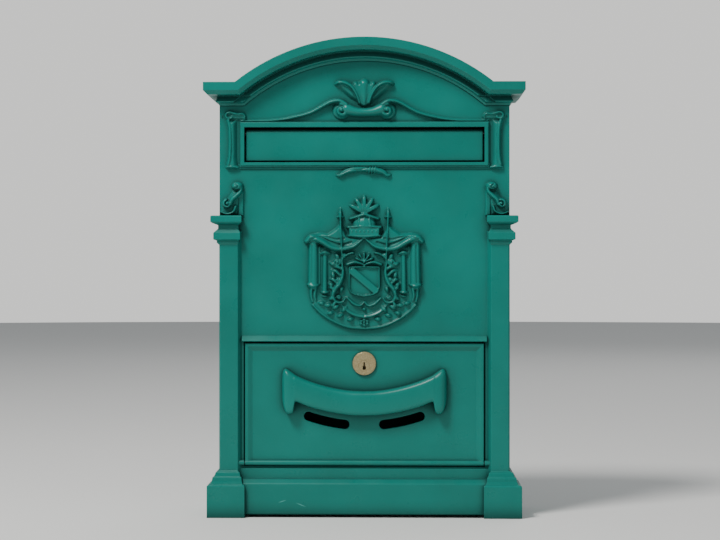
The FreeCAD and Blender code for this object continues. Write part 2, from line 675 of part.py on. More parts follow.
build_front()
build_roof()
build_wrap()
build_back()
build_fixings()
build_flap()
build_bearing_screws()
build_door()
build_hood()
build_lock()
write_parts()
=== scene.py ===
import json
import math

import bmesh
import bpy
import numpy as np
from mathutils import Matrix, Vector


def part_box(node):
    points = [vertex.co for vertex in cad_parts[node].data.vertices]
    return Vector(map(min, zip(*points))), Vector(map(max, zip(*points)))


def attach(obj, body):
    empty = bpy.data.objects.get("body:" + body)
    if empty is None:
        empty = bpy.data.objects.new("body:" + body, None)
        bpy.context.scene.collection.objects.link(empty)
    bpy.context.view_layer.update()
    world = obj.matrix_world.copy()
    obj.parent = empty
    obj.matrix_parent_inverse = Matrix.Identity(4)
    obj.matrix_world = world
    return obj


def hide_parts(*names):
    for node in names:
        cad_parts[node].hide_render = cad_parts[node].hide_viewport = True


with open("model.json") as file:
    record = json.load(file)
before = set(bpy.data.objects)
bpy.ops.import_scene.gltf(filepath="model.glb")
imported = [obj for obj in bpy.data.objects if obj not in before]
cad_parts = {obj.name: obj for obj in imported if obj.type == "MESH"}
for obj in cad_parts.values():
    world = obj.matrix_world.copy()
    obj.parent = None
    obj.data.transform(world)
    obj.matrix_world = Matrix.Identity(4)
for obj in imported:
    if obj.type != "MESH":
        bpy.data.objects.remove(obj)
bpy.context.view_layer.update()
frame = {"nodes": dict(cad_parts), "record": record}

# Ornament is laid out in millimetres: across from the middle, and up from the underside of the feet.
MM = 0.001
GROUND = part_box("front_casting")[0][2]
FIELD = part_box("mail_flap")[0][1]


# Relief: ornament cast on a flat face is a height over a fine grid

def smooth_path(points, steps=8):
    """Catmull-Rom through rows of (across, up, radius, height)."""
    rows = np.array(points, dtype=float)
    ends = np.vstack([2 * rows[0] - rows[1], rows, 2 * rows[-1] - rows[-2]])
    out = []
    for a, b, c, d in zip(ends, ends[1:], ends[2:], ends[3:]):
        for t in np.arange(steps) / steps:
            out.append(0.5 * (2 * b + (c - a) * t + (2 * a - 5 * b + 4 * c - d) * t * t
                              + (3 * b - a - 3 * c + d) * t ** 3))
    out.append(rows[-1])
    return np.array(out)


class Relief:
    """Heights in millimetres over a grid; each mark keeps the higher of itself and what is there."""

    def __init__(self, left, right, low, high, step):
        across = np.arange(left, right + step / 2, step)
        up = np.arange(low, high + step / 2, step)
        self.step = step
        self.x, self.z = np.meshgrid(across, up, indexing="ij")
        self.height = np.zeros_like(self.x)

    def raise_to(self, height):
        self.height = np.maximum(self.height, height)

    def run(self, points, steps=8, flat=2.0):
        """A rounded bead along a path; flat above 2 squares its top."""
        path = smooth_path(points, steps)
        for (xa, za, ra, ha), (xb, zb, rb, hb) in zip(path, path[1:]):
            dx, dz = xb - xa, zb - za
            size = dx * dx + dz * dz + 1e-12
            t = np.clip(((self.x - xa) * dx + (self.z - za) * dz) / size, 0, 1)
            away = np.hypot(self.x - xa - t * dx, self.z - za - t * dz)
            radius = np.maximum(ra + (rb - ra) * t, 0.05)
            part = 1 - np.minimum(away / radius, 1) ** flat
            self.raise_to((ha + (hb - ha) * t) * np.sqrt(part))

    def runs(self, points, **more):
        """The same bead on both sides of the middle."""
        self.run(points, **more)
        self.run([(-p[0], *p[1:]) for p in points], **more)

    def inside(self, corners):
        """Distance inside a closed outline, negative outside."""
        spots = np.array(corners, dtype=float)
        near = np.full_like(self.x, 1e9)
        odd = np.zeros(self.x.shape, dtype=bool)
        for (xa, za), (xb, zb) in zip(spots, np.roll(spots, -1, axis=0)):
            dx, dz = xb - xa, zb - za
            t = np.clip(((self.x - xa) * dx + (self.z - za) * dz) / (dx * dx + dz * dz), 0, 1)
            near = np.minimum(near, np.hypot(self.x - xa - t * dx, self.z - za - t * dz))
            crosses = (za > self.z) != (zb > self.z)
            at = xa + (self.z - za) * dx / (dz if dz else 1e-9)
            odd ^= crosses & (self.x < at)
        return np.where(odd, near, -near)

    def plate(self, corners, height, slope=1.0):
        """A raised flat with sloping sides."""
        self.raise_to(height * np.clip(self.inside(corners) / slope, 0, 1))

    def dome(self, x, z, across, up, height):
        part = ((self.x - x) / across) ** 2 + ((self.z - z) / up) ** 2
        self.raise_to(height * np.sqrt(np.clip(1 - part, 0, 1)))

    def groove(self, points, width, depth, steps=8):
        """A soft line pressed into what is already raised."""
        path = smooth_path([(x, z, 1, 1) for x, z in points], steps)
        near = np.full_like(self.x, 1e9)
        for (xa, za, *_), (xb, zb, *_) in zip(path, path[1:]):
            dx, dz = xb - xa, zb - za
            t = np.clip(((self.x - xa) * dx + (self.z - za) * dz) / (dx * dx + dz * dz + 1e-12), 0, 1)
            near = np.minimum(near, np.hypot(self.x - xa - t * dx, self.z - za - t * dz))
        cut = depth * np.exp(-(near / width) ** 2)
        self.height = np.where(self.height > 0, np.maximum(self.height - cut, 0.02), 0)

    def grooves(self, points, width, depth):
        self.groove(points, width, depth)
        self.groove([(-x, z) for x, z in points], width, depth)

    def volute(self, x, z, size, height, turns=1.6, start=0.0, way=1, bead=0.3):
        """A spiral scroll that winds in to a small eye."""
        count = int(turns * 10)
        rows = []
        for index in range(count + 1):
            share = index / count
            radius = size * (1 - bead) * (1 - 0.8 * share)
            angle = start + way * share * turns * 2 * math.pi
            rows.append((x + radius * math.cos(angle), z + radius * math.sin(angle),
                         size * bead * (1 - 0.35 * share), height * (0.75 + 0.25 * share)))
        self.dome(x, z, size * 0.95, size * 0.95, height * 0.5)
        self.run(rows, steps=3)
        self.dome(x, z, size * 0.24, size * 0.24, height * 1.05)

    def soften(self, passes=2):
        """Rounds edges and fills corners, as thick enamel does."""
        for _ in range(passes):
            for axis in (0, 1):
                ahead = np.roll(self.height, 1, axis)
                behind = np.roll(self.height, -1, axis)
                self.height = 0.25 * ahead + 0.5 * self.height + 0.25 * behind

    @staticmethod
    def fill_pinches(cells):
        """Fills a cell where two others would touch at a corner only."""
        low, high = cells[:-1, :-1], cells[1:, 1:]
        right, above = cells[1:, :-1], cells[:-1, 1:]
        right |= low & high & ~right & ~above
        low |= right & above & ~low & ~high

    def build(self, name, face, body, sunk=0.12, back=1.5):
        """A closed mesh whose front follows the heights forward of a face at y = face."""
        live = self.height > sunk * 0.6
        cells = live[:-1, :-1] | live[1:, :-1] | live[:-1, 1:] | live[1:, 1:]
        self.fill_pinches(cells)
        used = np.zeros_like(live)
        for across in (slice(0, -1), slice(1, None)):
            for up in (slice(0, -1), slice(1, None)):
                used[across, up] |= cells
        index = np.full(live.shape, -1)
        index[used] = np.arange(used.sum())
        count = int(used.sum())
        x, z = self.x[used] * MM, self.z[used] * MM + GROUND
        front = face - (self.height[used] - sunk) * MM
        rear = np.full(count, face + back * MM)
        verts = np.vstack([np.column_stack([x, front, z]), np.column_stack([x, rear, z])])
        i, k = np.nonzero(cells)
        quad = np.column_stack([index[i, k], index[i + 1, k], index[i + 1, k + 1], index[i, k + 1]])
        faces = [quad, quad[:, ::-1] + count]
        padded = np.pad(cells, 1)
        inner = padded[1:-1, 1:-1]
        for di, dk, a, b in ((-1, 0, 3, 0), (1, 0, 1, 2), (0, -1, 0, 1), (0, 1, 2, 3)):
            beside = padded[1 + di:padded.shape[0] - 1 + di, 1 + dk:padded.shape[1] - 1 + dk]
            rim = (inner & ~beside)[i, k]
            edge = quad[rim]
            faces.append(np.column_stack([edge[:, b], edge[:, a], edge[:, a] + count, edge[:, b] + count]))
        faces = np.vstack(faces)
        mesh = bpy.data.meshes.new(name)
        mesh.from_pydata(verts.tolist(), [], faces.tolist())
        mesh.update()
        mesh.shade_smooth()
        piece = bpy.data.objects.new(name, mesh)
        bpy.context.scene.collection.objects.link(piece)
        piece.data.materials.append(ENAMEL)
        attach(piece, body)
        return piece


# Materials

def new_material(name):
    material = bpy.data.materials.new(name)
    material.use_nodes = True
    tree = material.node_tree
    return material, tree, tree.nodes["Principled BSDF"]


def link(tree, source, target):
    tree.links.new(source, target)


def place_noise(tree, scale, detail=3.0, stretch=(1, 1, 1)):
    """Noise fixed to the piece, in the row's frame."""
    spot = tree.nodes.new("ShaderNodeTexCoord")
    turn = tree.nodes.new("ShaderNodeMapping")
    turn.inputs["Scale"].default_value = stretch
    noise = tree.nodes.new("ShaderNodeTexNoise")
    noise.inputs["Scale"].default_value = scale
    noise.inputs["Detail"].default_value = detail
    link(tree, spot.outputs["Object"], turn.inputs["Vector"])
    link(tree, turn.outputs["Vector"], noise.inputs["Vector"])
    return noise.outputs["Fac"]


def ramp(tree, source, low, high, from_low=0.3, from_high=0.7):
    """Maps a value, softly clamped, from one range to another."""
    remap = tree.nodes.new("ShaderNodeMapRange")
    remap.inputs["From Min"].default_value = from_low
    remap.inputs["From Max"].default_value = from_high
    remap.inputs["To Min"].default_value = low
    remap.inputs["To Max"].default_value = high
    link(tree, source, remap.inputs["Value"])
    return remap.outputs["Result"]


def mix_colour(tree, share, first, second):
    """Each of first and second is a colour or a socket."""
    mix = tree.nodes.new("ShaderNodeMix")
    mix.data_type = "RGBA"
    link(tree, share, mix.inputs["Factor"])
    for socket, value in (("A", first), ("B", second)):
        target = next(s for s in mix.inputs if s.name == socket and s.type == "RGBA")
        if isinstance(value, tuple):
            target.default_value = (*value, 1)
        else:
            link(tree, value, target)
    return next(s for s in mix.outputs if s.type == "RGBA")


def add_bump(tree, shader, source, strength, distance, before=None):
    bump = tree.nodes.new("ShaderNodeBump")
    bump.inputs["Strength"].default_value = strength
    bump.inputs["Distance"].default_value = distance
    link(tree, source, bump.inputs["Height"])
    if before is not None:
        link(tree, before, bump.inputs["Normal"])
    link(tree, bump.outputs["Normal"], shader.inputs["Normal"])
    return bump.outputs["Normal"]


def rounded(tree, radius):
    """A normal that rounds sharp edges, as thick enamel does."""
    bevel = tree.nodes.new("ShaderNodeBevel")
    bevel.samples = 4
    bevel.inputs["Radius"].default_value = radius
    return bevel.outputs["Normal"]


def edge_mask(tree, normal):
    """Near 1 on outer edges, where the rounded normal leaves the true one."""
    geometry = tree.nodes.new("ShaderNodeNewGeometry")
    dot = tree.nodes.new("ShaderNodeVectorMath")
    dot.operation = "DOT_PRODUCT"
    link(tree, normal, dot.inputs[0])
    link(tree, geometry.outputs["Normal"], dot.inputs[1])
    return ramp(tree, dot.outputs["Value"], 1.0, 0.0, 0.86, 0.995)


ENAMEL_DEEP = (0.0, 0.158, 0.126)
ENAMEL_LIGHT = (0.0, 0.200, 0.163)
ENAMEL_WORN = (0.002, 0.300, 0.255)
DUST = (0.03, 0.25, 0.20)
# Painted shade: the near-black green laid into corners and recesses.
PAINTED_SHADE = (0.0, 0.045, 0.038)
ENAMEL_RUBBED = (0.10, 0.42, 0.38)


def hollows(tree, distance):
    """Near 0 deep in a corner and 1 in the open; where it is low, the colour is painted darker as shade."""
    occlusion = tree.nodes.new("ShaderNodeAmbientOcclusion")
    occlusion.samples = 8
    occlusion.inputs["Distance"].default_value = distance
    return occlusion.outputs["AO"]


# Two faint rubs on the left of the plinth: centre, half length and lean.
RUBS = ((-70, 14, 4.0, -18), (-54, 11, 5.0, 22))


def rub_mask(tree, across, up, half_length, lean):
    """Near 1 along a short worn line on the front."""
    spot = tree.nodes.new("ShaderNodeTexCoord")
    place = tree.nodes.new("ShaderNodeMapping")
    place.vector_type = "TEXTURE"
    place.inputs["Location"].default_value = (across * MM, FIELD - 6.5 * MM, up * MM + GROUND)
    place.inputs["Rotation"].default_value = (0, math.radians(lean), 0)
    place.inputs["Scale"].default_value = (half_length * MM, 8 * MM, 0.5 * MM)
    away = tree.nodes.new("ShaderNodeVectorMath")
    away.operation = "LENGTH"
    link(tree, spot.outputs["Object"], place.inputs["Vector"])
    link(tree, place.outputs["Vector"], away.inputs[0])
    return ramp(tree, away.outputs["Value"], 0.75, 0, 0.3, 1.0)


def enamel(name, roughness, grain, rubs=()):
    material, tree, shader = new_material(name)
    cloud = place_noise(tree, 14, 4)
    fine = place_noise(tree, 900, 2)
    peel = place_noise(tree, grain, 2)
    soft = rounded(tree, 0.9 * MM)
    colour = mix_colour(tree, ramp(tree, cloud, 0, 1), ENAMEL_DEEP, ENAMEL_LIGHT)
    edge = edge_mask(tree, soft)
    broken = tree.nodes.new("ShaderNodeMath")
    broken.operation = "MULTIPLY"
    link(tree, edge, broken.inputs[0])
    link(tree, ramp(tree, place_noise(tree, 120, 5), 0.1, 0.75), broken.inputs[1])
    colour = mix_colour(tree, broken.outputs["Value"], colour, ENAMEL_WORN)
    specks = ramp(tree, fine, 0, 0.35, 0.66, 0.76)
    colour = mix_colour(tree, specks, colour, DUST)
    open_to_light = hollows(tree, 16 * MM)
    # Painted shade: corners, creases and recesses turn near-black green by the occlusion value, in place of
    # shadow.
    colour = mix_colour(tree, ramp(tree, open_to_light, 0.9, 0, 0.5, 0.96), colour, PAINTED_SHADE)
    for rub in rubs:
        colour = mix_colour(tree, rub_mask(tree, *rub), colour, ENAMEL_RUBBED)
    link(tree, colour, shader.inputs["Base Color"])
    gloss = tree.nodes.new("ShaderNodeMath")
    gloss.operation = "ADD"
    link(tree, ramp(tree, place_noise(tree, 60, 4), roughness - 0.06, roughness + 0.08), gloss.inputs[0])
    link(tree, ramp(tree, open_to_light, 0.6, 0, 0.4, 0.9), gloss.inputs[1])
    link(tree, gloss.outputs["Value"], shader.inputs["Roughness"])
    shader.inputs["Specular IOR Level"].default_value = 0.3
    add_bump(tree, shader, peel, 0.22, 0.10 * MM, soft)
    return material


def metal(name, dark, light, roughness, brushed=(1, 1, 1), scale=300, bump=0.15):
    material, tree, shader = new_material(name)
    tone = place_noise(tree, scale, 4, brushed)
    link(tree, mix_colour(tree, ramp(tree, tone, 0, 1), dark, light), shader.inputs["Base Color"])
    link(tree, ramp(tree, place_noise(tree, scale * 0.4, 4, brushed), roughness - 0.1, roughness + 0.12),
         shader.inputs["Roughness"])
    shader.inputs["Metallic"].default_value = 1.0
    add_bump(tree, shader, tone, bump, 0.05 * MM, rounded(tree, 0.3 * MM))
    return material


ENAMEL = enamel("green_enamel", 0.31, 420)
FRONT_ENAMEL = enamel("green_front_enamel", 0.31, 420, RUBS)
SHEET_ENAMEL = enamel("green_sheet_enamel", 0.44, 700)
BRASS = metal("worn_brass", (0.36, 0.29, 0.14), (0.60, 0.51, 0.30), 0.46, scale=1400)
ZINC = metal("zinc_plate", (0.42, 0.42, 0.40), (0.62, 0.62, 0.60), 0.35)
STEEL = metal("dark_steel", (0.05, 0.055, 0.055), (0.11, 0.115, 0.115), 0.42, (1, 20, 20))
CASTING = metal("bare_casting", (0.40, 0.41, 0.42), (0.58, 0.59, 0.60), 0.55, scale=700, bump=0.5)
FINISH = {"enamel": ENAMEL, "sheet_enamel": SHEET_ENAMEL, "rivet_aluminium": CASTING, "zinc_steel": ZINC,
          "pin_steel": STEEL, "bearing_casting": CASTING, "lock_brass": BRASS}


def finish_nodes():
    """Gives every CAD node the material of its slot."""
    for part in frame["record"]["subparts"]:
        node = frame["nodes"][part["node"]]
        node.data.materials.clear()
        rubbed = part["node"] == "front_casting"
        node.data.materials.append(FRONT_ENAMEL if rubbed else FINISH[part["material_slot"]])


# Ornament on the front

def crest():
    """A mantled shield under a plumed crown, with leaf scrolls on both sides."""
    art = Relief(-54, 54, 158, 278, 0.46)
    backing = [(-46, 233), (-47, 200), (-44, 182), (-37, 175), (-27, 168.6), (-14, 163.4), (0, 161.8),
               (14, 163.4), (27, 168.6), (37, 175), (44, 182), (47, 200), (46, 233), (20, 231), (0, 240),
               (-20, 231)]
    art.plate(backing, 1.6, 1.2)
    art.runs([(44, 182, 1.3, 2.6), (37, 175, 1.4, 2.6), (27, 168.4, 1.4, 2.4), (14, 163.2, 1.4, 2.4),
              (0, 161.8, 1.4, 2.4)])
    crest_mantle(art)
    crest_crown(art)
    crest_shield(art)
    crest_scrolls(art)
    crest_leaves(art)
    crest_garland(art)
    art.height *= 1.32
    art.soften(1)
    return art.build("crest", FIELD, "box")


def crest_mantle(art):
    for side in (1, -1):
        drape = [(50, 238.6), (46.5, 242.6), (40, 243.8), (31, 243.4), (25, 247.5), (20.5, 252.5), (17, 247),
                 (14, 241), (6, 240.5), (0, 241), (0, 238), (8, 232.5), (20, 229), (33, 231), (42, 236),
                 (47, 236)]
        art.plate([(side * x, z) for x, z in drape], 3.2, 2.2)
    art.runs([(49.3, 236.3, 2.2, 4.6), (44.5, 239.6, 3.0, 5.8), (36.5, 236.2, 2.9, 5.4),
              (28, 231.2, 2.7, 5.2), (20, 229.8, 2.4, 5.0), (10, 231.8, 2.2, 4.8), (4.5, 235.6, 1.7, 4.6),
              (0.4, 239.2, 1.0, 4.0)])
    art.grooves([(46, 238.2), (38, 240), (30, 236.4), (20, 233.4), (11, 235.5)], 0.8, 1.1)
    art.grooves([(40, 242.3), (32, 240), (24, 238), (17, 239)], 0.7, 0.8)
    art.runs([(43.6, 235, 4.2, 3.6), (43.4, 222, 4.6, 4.6), (43.6, 199.5, 4.9, 4.8)], flat=2.4)
    art.runs([(38.2, 232, 1.0, 2.4), (38.2, 200, 1.2, 2.6)])
    art.runs([(39.6, 199, 1.3, 4.2), (43.6, 198, 1.5, 5.6), (48.0, 199.4, 1.3, 4.2)])
    art.runs([(41.6, 196, 1.9, 3.6), (42.4, 190, 1.7, 3.4), (41.4, 185.5, 1.2, 2.6)])
    art.runs([(45.2, 196, 1.7, 3.2), (45.4, 190, 1.5, 3.0), (44.2, 184.5, 1.1, 2.4)])
    art.grooves([(44.6, 233), (44.8, 216), (45.2, 201)], 0.8, 0.9)
    art.runs([(33.6, 224, 2.6, 3.2), (33.8, 208, 2.7, 3.6), (33.8, 194, 2.9, 3.8)], flat=2.4)
    art.runs([(29.6, 225.8, 1.5, 3.0), (33.6, 227.0, 1.8, 4.6), (37.4, 225.8, 1.4, 3.0)])
    art.runs([(30.6, 193, 1.1, 3.4), (33.8, 192.4, 1.2, 4.6), (36.8, 193, 1.1, 3.4)])
    art.runs([(31.6, 189.6, 1.0, 2.8), (33.8, 189.2, 1.1, 3.8), (36, 189.6, 1.0, 2.8)])


def crest_crown(art):
    for side in (1, -1):
        pole = side * 20.4
        art.run([(side * 18.6, 214, 0.9, 3.2), (side * 19.4, 234, 1.0, 5.4), (pole, 257, 1.0, 3.4)])
        art.run([(pole - 2.4, 257.2, 0.7, 2.6), (pole + 2.4, 257.2, 0.7, 2.6)])
        art.run([(pole, 258, 1.8, 3.2), (pole, 261, 1.5, 2.8), (pole, 265, 0.35, 1.2)])
    art.plate([(-13.6, 240.2), (13.6, 240.2), (14.2, 248.6), (-14.2, 248.6)], 4.2, 1.2)
    art.run([(-14.2, 248.4, 1.2, 4.4), (0, 249.2, 1.3, 5.2), (14.2, 248.4, 1.2, 4.4)])
    art.run([(-13.6, 241.2, 1.2, 4.2), (0, 240.4, 1.3, 5.2), (13.6, 241.2, 1.2, 4.2)])
    for across in np.linspace(-10.5, 10.5, 7):
        art.dome(across, 244.9, 1.1, 1.1, 5.2)
    art.dome(0, 250.4, 10.4, 8.6, 4.8)
    for across in (-5.4, 0, 5.4):
        art.run([(across, 250, 0.8, 5.3), (across * 0.8, 257, 0.7, 4.2)])
    art.runs([(12.0, 255.6, 1.3, 3.0), (6.5, 257.4, 1.5, 4.2), (0, 259.6, 1.6, 5.0)])
    for angle in (-46, -23, 0, 23, 46):
        lean = math.radians(angle)
        reach = 15.5 - abs(angle) * 0.03
        rows = []
        for share, radius, height in ((0.1, 1.5, 3.4), (0.5, 2.3, 3.8), (0.85, 1.9, 3.2), (1.0, 1.0, 2.4)):
            curl = lean * (1 + 0.25 * share)
            rows.append((reach * share * math.sin(curl), 259.5 + reach * share * math.cos(curl),
                         radius, height))
        art.run(rows, steps=4)
        art.groove([(row[0], row[1]) for row in rows], 0.45, 0.9, steps=3)


def crest_shield(art):
    outline = [(-14, 215.4), (0, 215.9), (14, 215.4), (14.2, 197), (12.6, 192), (8, 189.6), (0, 188.2),
               (-8, 189.6), (-12.6, 192), (-14.2, 197)]
    art.plate(outline, 4.4, 1.0)
    depth = art.inside(outline)
    floor = np.where(depth > 1.7, 2.4, np.inf)
    art.height = np.minimum(art.height, floor)
    band = [(-13, 213.6), (-8.4, 214.2), (13.2, 196), (12.4, 192.4), (8.2, 190.6), (-13.2, 208.4)]
    art.plate(band, 4.0, 0.7)
    art.runs([(14.5, 216.6, 1.6, 4.8), (8.4, 218.6, 1.6, 5.0), (2.6, 217.4, 1.2, 4.8), (0, 215.8, 0.9, 4.4)])
    for angle in (-64, -32, 0, 32, 64):
        lean = math.radians(angle)
        art.run([(1.6 * math.sin(lean), 218.6 + 1.6 * math.cos(lean), 0.8, 4.4),
                 (6.6 * math.sin(lean), 218.4 + 6.6 * math.cos(lean), 1.45, 5.0),
                 (8.2 * math.sin(lean), 218.4 + 8.2 * math.cos(lean), 1.0, 3.8)], steps=4)
    art.dome(0, 218.8, 1.6, 1.6, 5.4)
    for index in range(7):
        share = index / 6
        across = 9.6 + 9.0 * share
        art.dome(across, 226.4 - 5 * share * share, 1.5, 1.4, 4.4)
        art.dome(-across, 226.4 - 5 * share * share, 1.5, 1.4, 4.4)


def crest_scrolls(art):
    """Leaf scrolls at each side of the shield."""
    for side in (1, -1):
        art.volute(side * 23.6, 218.6, 5.0, 4.6, 1.5, math.pi / 2 if side > 0 else math.pi / 2, side)
        stem = [(18.9, 217, 1.1, 4.0), (18.2, 209, 1.8, 4.6), (20.6, 201, 2.3, 5.2), (25, 195.4, 2.3, 5.2),
                (26.8, 189.4, 1.9, 4.8), (23.8, 184.6, 1.5, 4.2), (18.8, 184.4, 1.3, 3.8),
                (16.2, 187.6, 1.0, 3.4)]
        art.run([(side * x, z, r, h) for x, z, r, h in stem])
        art.volute(side * 22.0, 188.2, 3.2, 4.4, 1.2, math.pi, side)
        for base, tip, bow in (((19.4, 206), (29.6, 211.4), 2.2), ((22.6, 199.4), (30.4, 203.6), 2.0),
                               ((25.6, 194), (30.8, 196.4), 1.5), ((26.4, 190), (30.6, 187.4), -1.4),
                               ((24.4, 185.4), (28.6, 180.8), -1.4), ((18.4, 212), (27.2, 213.8), 1.6)):
            middle = ((base[0] + tip[0]) / 2, (base[1] + tip[1]) / 2 + bow)
            art.run([(side * base[0], base[1], 1.3, 4.2), (side * middle[0], middle[1], 1.7, 4.4),
                     (side * tip[0], tip[1], 0.5, 2.4)], steps=5)
            art.groove([(side * base[0], base[1]), (side * middle[0], middle[1]), (side * tip[0], tip[1])],
                       0.4, 0.8, steps=4)


def crest_leaves(art):
    """Small overlapping leaves that fill the ground between the columns and the shield."""
    for x, z, lean, size in ((23.0, 223.4, 30, 5.2), (27.2, 217.0, 65, 4.6), (26.6, 207.4, 15, 4.8),
                             (22.4, 203.8, -40, 4.2), (28.4, 199.2, 55, 4.2), (19.4, 195.6, -15, 4.6),
                             (17.6, 224.6, -35, 4.2), (24.4, 180.0, 120, 5.0), (31.0, 181.6, 95, 4.8),
                             (36.6, 183.4, 80, 4.6), (17.2, 178.0, 140, 4.8), (12.0, 169.6, 100, 4.4),
                             (20.8, 172.8, 110, 4.6), (29.0, 175.0, 100, 4.2)):
        angle = math.radians(lean)
        across, up = math.sin(angle), math.cos(angle)
        rows = [(x - size * 0.6 * across, z - size * 0.6 * up, 1.2, 3.0), (x, z, 2.1, 4.4),
                (x + size * 0.7 * across, z + size * 0.7 * up, 0.7, 2.6)]
        art.runs(rows, steps=4)
        art.grooves([row[:2] for row in rows], 0.35, 0.8)


def crest_garland(art):
    art.runs([(14.4, 188.0, 1.2, 3.4), (9.0, 183.0, 1.7, 4.2), (3.6, 181.4, 1.4, 3.8),
              (0.3, 184.4, 1.0, 3.2)])
    art.runs([(19.6, 182.4, 1.2, 2.8), (13.4, 176.2, 1.8, 3.6), (6.4, 173.0, 1.9, 3.8), (0, 172.0, 1.9, 3.8)])
    art.grooves([(18.8, 182.2), (13.4, 176.6), (6.4, 173.4), (0, 172.4)], 0.4, 0.9)
    art.dome(0, 178.2, 2.1, 1.9, 3.8)
    for turn in range(6):
        angle = math.radians(60 * turn + 30)
        art.dome(3.0 * math.cos(angle), 166.9 + 2.3 * math.sin(angle), 1.8, 1.5, 3.6)
    art.dome(0, 166.9, 1.3, 1.3, 4.2)


SWAN_NECK = ((106, 339.9, 0.9, 1.8), (93, 339.9, 1.0, 2.2), (80.5, 340.1, 1.1, 2.6), (69, 341.2, 1.2, 3.0),
             (60.9, 342.8, 1.3, 3.3), (53, 344.6, 1.4, 3.6), (46.1, 346.8, 1.5, 3.9), (41, 349.2, 1.6, 4.2),
             (36.3, 351.9, 1.7, 4.6), (31.4, 354.6, 1.8, 5.2), (26.4, 356.4, 2.0, 5.8),
             (20.5, 356.6, 2.1, 6.4),
             (15.2, 353.4, 2.2, 6.8))


def pediment():
    """The swan-neck ridge over the mail slot, its volutes and bolster, and the leaves above them."""
    art = Relief(-62, 62, 338, 378, 0.35)
    palmette(art)
    for side in (1, -1):
        art.volute(side * 19.6, 348.5, 8.2, 7.8, 1.15, math.pi / 2, side, 0.33)
    art.runs([(70, 341, 1.2, 3.0)] + list(SWAN_NECK[4:]))
    art.run([(-15, 349.6, 5.4, 7.4), (-8, 347.6, 4.3, 7.0), (0, 347.0, 3.8, 6.8), (8, 347.6, 4.3, 7.0),
             (15, 349.6, 5.4, 7.4)])
    art.soften(2)
    return art.build("pediment", FIELD, "box")


def palmette(art):
    middle = [(-2.6, 352), (-6.0, 361), (-10.4, 370.4), (-9.4, 372.4), (-5.2, 373.4), (0, 374.6),
              (5.2, 373.4), (9.4, 372.4), (10.4, 370.4), (6.0, 361), (2.6, 352)]
    art.plate(middle, 4.2, 3.4)
    art.run([(0, 354, 2.4, 3.6), (0, 363, 4.2, 5.0), (0, 370.6, 5.0, 5.4)])
    art.runs([(1.8, 354, 1.6, 2.8), (4.8, 363, 2.8, 4.2), (7.4, 370.4, 2.9, 4.6)])
    for side in (1, -1):
        leaf = [(3.2, 354), (12, 358.6), (19.4, 365), (24.2, 370), (24.8, 372.4), (22, 373.6), (16.6, 373.6),
                (11.2, 370.4), (7.4, 365), (4.4, 358)]
        art.plate([(side * x, z) for x, z in leaf], 3.2, 3.2)
        art.run([(side * x, z, r, h) for x, z, r, h in (
            (4.0, 355, 1.4, 4.2), (6.8, 362.6, 1.7, 5.8), (11.0, 368.8, 1.9, 6.6), (16.8, 372.0, 1.9, 6.4),
            (22, 372.4, 1.8, 5.4), (24.4, 371.2, 1.2, 3.6))])


def slot_side(side):
    """The rounded pilaster beside the mail slot, the flat scroll on it and the end of the swan neck."""
    ends = sorted((side * 58, side * 122))
    art = Relief(*ends, 296, 350, 0.4)

    def place(rows):
        return [(side * x, *more) for x, *more in rows]

    art.plate(place([(119.2, 341), (117.2, 335), (116.2, 327), (116.0, 313), (117.2, 305), (119.0, 300.2),
                     (118.6, 298.6), (106.4, 298.6), (108.6, 302), (109.2, 308), (109.2, 341)]), 3.6, 3.4)
    art.run(place([(116.6, 340, 1.6, 4.0), (115.2, 333, 1.6, 4.6), (114.8, 320, 1.6, 4.8),
                   (115.2, 309, 1.6, 4.8), (116.4, 302.4, 1.6, 4.4)]))
    art.run(place([(108.0, 299.8, 1.1, 3.0), (113.4, 300.4, 1.4, 4.0), (118.0, 300.2, 1.1, 3.6)]))
    art.plate(place([(101.8, 340.4), (119.0, 340.4), (119.6, 345), (117, 347.6), (104, 347), (101.4, 343.6)]),
              2.4, 2.0)
    art.run(place([(103.2, 341.2, 0.9, 3.2), (102.4, 343.6, 1.0, 3.8), (104.6, 345.8, 1.1, 4.2),
                   (108.8, 345.4, 1.2, 4.4), (112.2, 346.2, 1.3, 4.6), (116.2, 347.0, 1.2, 4.6),
                   (118.8, 344.8, 1.2, 4.6), (117.2, 342.0, 1.1, 4.4), (113.8, 342.2, 1.0, 4.2),
                   (113.4, 344.2, 0.8, 3.8)]), steps=5)
    art.run(place(SWAN_NECK[:6]))
    art.soften(2)
    word = "right" if side > 0 else "left"
    return art.build("slot_pilaster_" + word, FIELD, "box")


def ribbon():
    """The small bound ribbon under the mail slot."""
    art = Relief(-27, 27, 289, 303, 0.3)
    art.run([(-23.2, 293.0, 1.2, 2.4), (-20.4, 293.2, 1.7, 3.2), (-16.6, 295.8, 2.2, 3.6),
             (-10.5, 297.6, 2.5, 3.8),
             (-3, 298.4, 2.1, 3.6), (4, 297.8, 2.2, 3.8), (11, 297.4, 2.6, 4.0), (16.4, 295.6, 2.2, 3.6),
             (19.6, 293.2, 1.7, 3.2), (22.2, 293.4, 1.1, 2.4)])
    for across in (4.6, 6.9, 9.2):
        art.run([(across - 0.5, 294.8, 0.7, 3.4), (across, 297.6, 0.8, 5.0), (across + 0.5, 300.4, 0.7, 3.4)])
    art.groove([(-19, 294.6), (-12, 297.8), (-5, 297.6), (1, 299.0)], 0.45, 1.1)
    art.groove([(12, 299), (16, 296.8), (20, 294)], 0.45, 1.0)
    art.soften(2)
    return art.build("ribbon", FIELD, "box")


